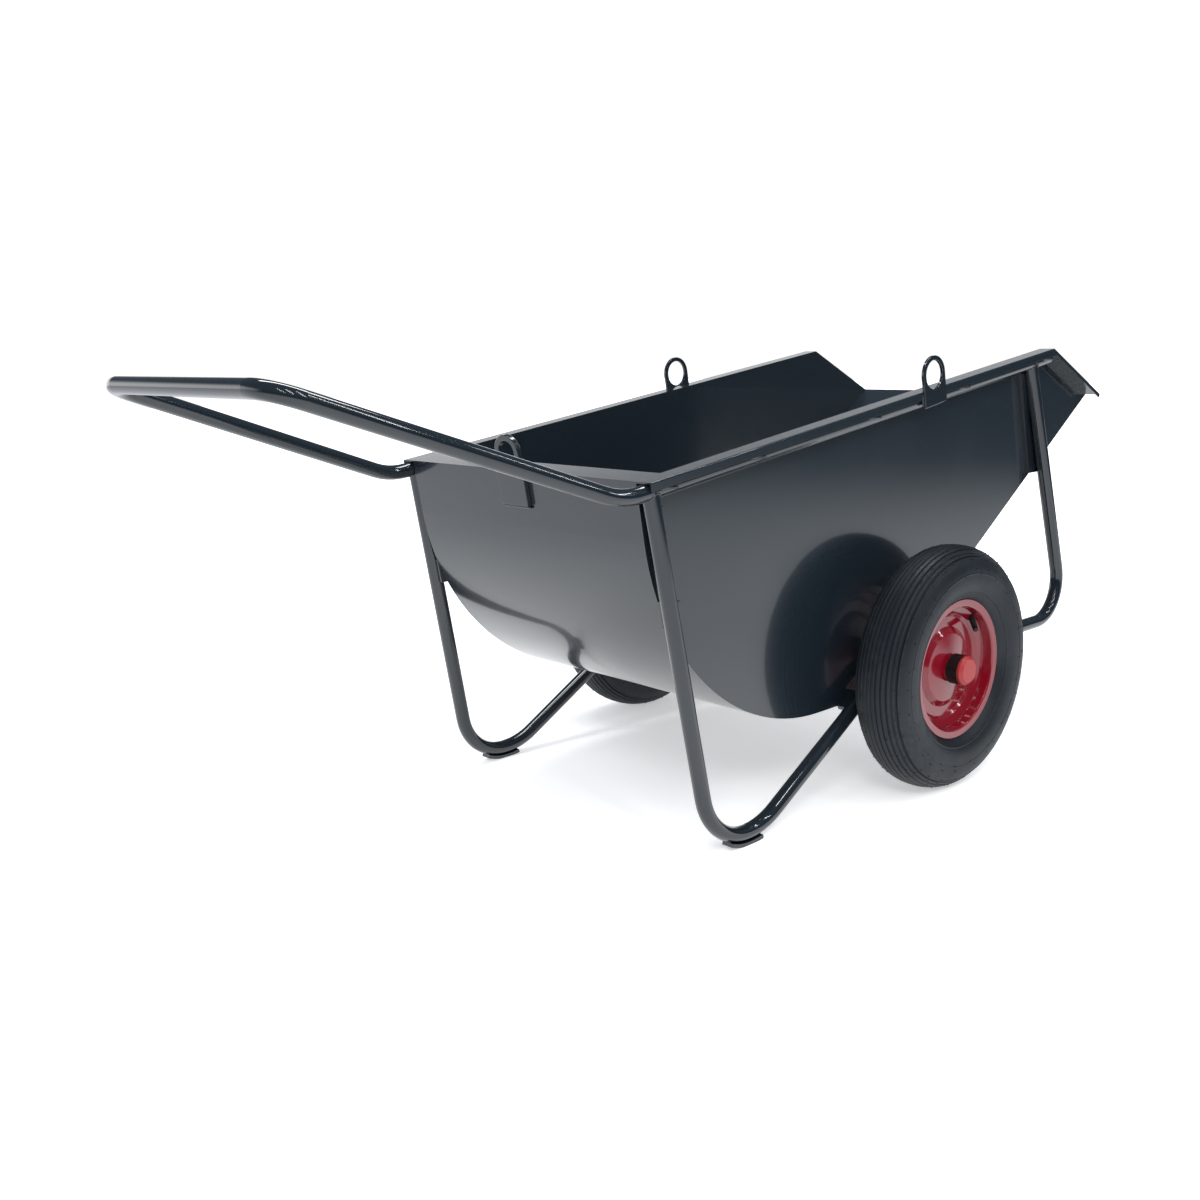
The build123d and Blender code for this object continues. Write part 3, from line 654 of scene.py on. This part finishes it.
def make_valve(side):
    """Ribbed rubber valve stem with a plain cap."""
    points = corners_of(f"valve_stem_{side}")
    spoke = Vector((math.cos(VALVE_CLOCK), 0, math.sin(VALVE_CLOCK)))
    outward = Vector((0, SIDES[side], 0))
    root, tip = ends_along(points, outward * VALVE_LEAN[0] - spoke * VALVE_LEAN[1])
    axis = (tip - root).normalized()
    length = (tip - root).length
    end = length - 0.1 * MM
    cap = length - VALVE_CAP_LENGTH
    profile = [(ON_AXIS, 0.0)]
    steps = VALVE_RIBS * VALVE_RIB_STEPS
    for step in range(steps + 1):
        along = 0.3 * MM + (length - 8 * MM) * step / steps
        wide = VALVE_FOOT_RADIUS - VALVE_TAPER * step / steps
        rib = VALVE_RIB_HEIGHT * math.cos(math.tau * step / VALVE_RIB_STEPS)
        profile.append((wide + rib, along))
    profile += [
        (VALVE_NECK_RADIUS, cap - 0.8 * MM), (VALVE_NECK_RADIUS, cap),
        (VALVE_CAP_RADIUS, cap + 0.5 * MM), (VALVE_CAP_RADIUS, length - 0.9 * MM),
        (VALVE_CAP_RADIUS - 0.8 * MM, end), (ON_AXIS, end),
    ]
    mesh = bmesh.new()
    lathe(mesh, profile, root, axis, VALVE_TURN_STEPS)
    stem = new_piece(f"ribbed_valve_{side}", mesh, "valve_rubber", f"{side}_wheel")
    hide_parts(f"valve_stem_{side}")


for side in SIDES:
    make_tyre(side)
    make_valve(side)

# ---------------------------------------------------------------- stage, light and camera

FLOOR_REACH = 14.0
BARROW_MIDDLE = (0.0, 0.0, 0.4)
HALL_STRIPS = 5
HALL_STRIP_SIZE = (0.07, 1.6)
HALL_STRIP_POWER = 7.0
CAMERA_PLACE = (-1.5087, -1.4665, 0.7432)
CAMERA_HEADING = math.radians(47.96)    # from +X towards +Y
CAMERA_DIP = math.radians(11.78)        # below the horizon
CAMERA_ROLL = math.radians(-1.53)
CAMERA_LENS = 38.03                     # millimetres, on a sensor 36 mm wide


def make_stage():
    """Pale floor, bright near the barrow and dimmer far off where only the paint mirrors it."""
    floor_mesh = bpy.data.meshes.new("floor")
    turns = ((-1, -1), (1, -1), (1, 1), (-1, 1))
    corners = [(FLOOR_REACH * x, FLOOR_REACH * y, 0) for x, y in turns]
    floor_mesh.from_pydata(corners, [], [(0, 1, 2, 3)])
    floor = bpy.data.objects.new("floor", floor_mesh)
    bpy.context.scene.collection.objects.link(floor)
    material, tree, shader = new_material("pale_floor")
    place = add(tree, "ShaderNodeTexCoord").outputs["Object"]
    away = add(tree, "ShaderNodeVectorMath", {0: place}, operation="LENGTH").outputs["Value"]
    across = add(tree, "ShaderNodeSeparateXYZ", {"Vector": place}).outputs["Y"]
    front_side = maths(tree, "SUBTRACT", 1.0, ramp(tree, across, 0.0, 2.0))
    far = maths(tree, "MULTIPLY", ramp(tree, away, 2.6, 6.0), front_side)
    seen = add(tree, "ShaderNodeLightPath").outputs["Is Camera Ray"]
    close = mix(tree, ramp(tree, away, 0.5, 1.5), rgb(0.42, 0.42, 0.42), rgb(0.21, 0.22, 0.23))
    dimmed = mix(tree, far, close, rgb(0.020, 0.028, 0.034))
    clear = mix(tree, ramp(tree, away, 0.7, 2.4), rgb(0.42, 0.42, 0.42), rgb(1.1, 1.1, 1.1))
    glow = mix(tree, seen, dimmed, clear)
    paint = mix(tree, far, rgb(0.55, 0.55, 0.55), rgb(0.04, 0.045, 0.05))
    tree.links.new(mix(tree, seen, paint, rgb(0.93, 0.93, 0.93)), shader.inputs["Base Color"])
    tree.links.new(glow, shader.inputs["Emission Color"])
    shader.inputs["Emission Strength"].default_value = 1.0
    shader.inputs["Roughness"].default_value = 0.9
    shader.inputs["Specular IOR Level"].default_value = 0.0
    floor_mesh.materials.append(material)


def soft_light(name, place, target, size, power, mirrored=True):
    """Rectangular area light aimed at the target; the paint mirrors it only where told."""
    data = bpy.data.lights.new(name, "AREA")
    data.shape = "RECTANGLE"
    data.size, data.size_y = size
    data.energy = power
    light = bpy.data.objects.new(name, data)
    light.visible_glossy = mirrored
    light.location = place
    light.rotation_euler = (Vector(target) - Vector(place)).to_track_quat("-Z", "Y").to_euler()
    bpy.context.scene.collection.objects.link(light)


def make_light():
    """White backdrop towards +Y, a dark hall towards -Y, and softboxes overhead."""
    world = bpy.data.worlds.new("studio")
    bpy.context.scene.world = world
    world.use_nodes = True
    tree = world.node_tree
    background = tree.nodes["Background"]
    direction = add(tree, "ShaderNodeTexCoord").outputs["Generated"]
    parts = add(tree, "ShaderNodeSeparateXYZ", {"Vector": direction}).outputs
    towards = ramp(tree, parts["Y"], -0.15, 0.45)
    backdrop = mix(tree, towards, rgb(0.035, 0.048, 0.060), rgb(1.25, 1.25, 1.25))
    room = mix(tree, ramp(tree, parts["Z"], 0.12, 0.36), backdrop, rgb(0.085, 0.105, 0.13))
    path = add(tree, "ShaderNodeLightPath").outputs
    lit = mix(tree, path["Is Diffuse Ray"], room, rgb(0.78, 0.82, 0.88))
    seen = mix(tree, path["Is Camera Ray"], lit, rgb(1.05, 1.05, 1.05))
    tree.links.new(seen, background.inputs["Color"])
    soft_light("overhead_softbox", (0.3, 0.5, 2.9), BARROW_MIDDLE, (2.6, 0.5), 40.0)
    soft_light("key_softbox", (-2.4, -2.4, 2.6), BARROW_MIDDLE, (1.4, 0.8), 40.0, mirrored=False)
    for index in range(HALL_STRIPS):
        place = (-2.2 + 1.1 * index, -2.2, 2.5)
        below = (place[0], 0.0, 0.2)
        soft_light(f"hall_strip_{index}", place, below, HALL_STRIP_SIZE, HALL_STRIP_POWER)


def make_camera():
    """Camera behind and to the right of the barrow, a little above the handle."""
    data = bpy.data.cameras.new("camera")
    data.sensor_width = 36.0
    data.lens = CAMERA_LENS
    camera = bpy.data.objects.new("camera", data)
    heading = Matrix.Rotation(CAMERA_HEADING - math.pi / 2, 4, "Z")
    dip = Matrix.Rotation(math.pi / 2 - CAMERA_DIP, 4, "X")
    roll = Matrix.Rotation(CAMERA_ROLL, 4, "Z")
    camera.matrix_world = Matrix.Translation(CAMERA_PLACE) @ heading @ dip @ roll
    bpy.context.scene.collection.objects.link(camera)
    bpy.context.scene.camera = camera


make_stage()
make_light()
make_camera()
bpy.context.scene.view_settings.view_transform = "Standard"
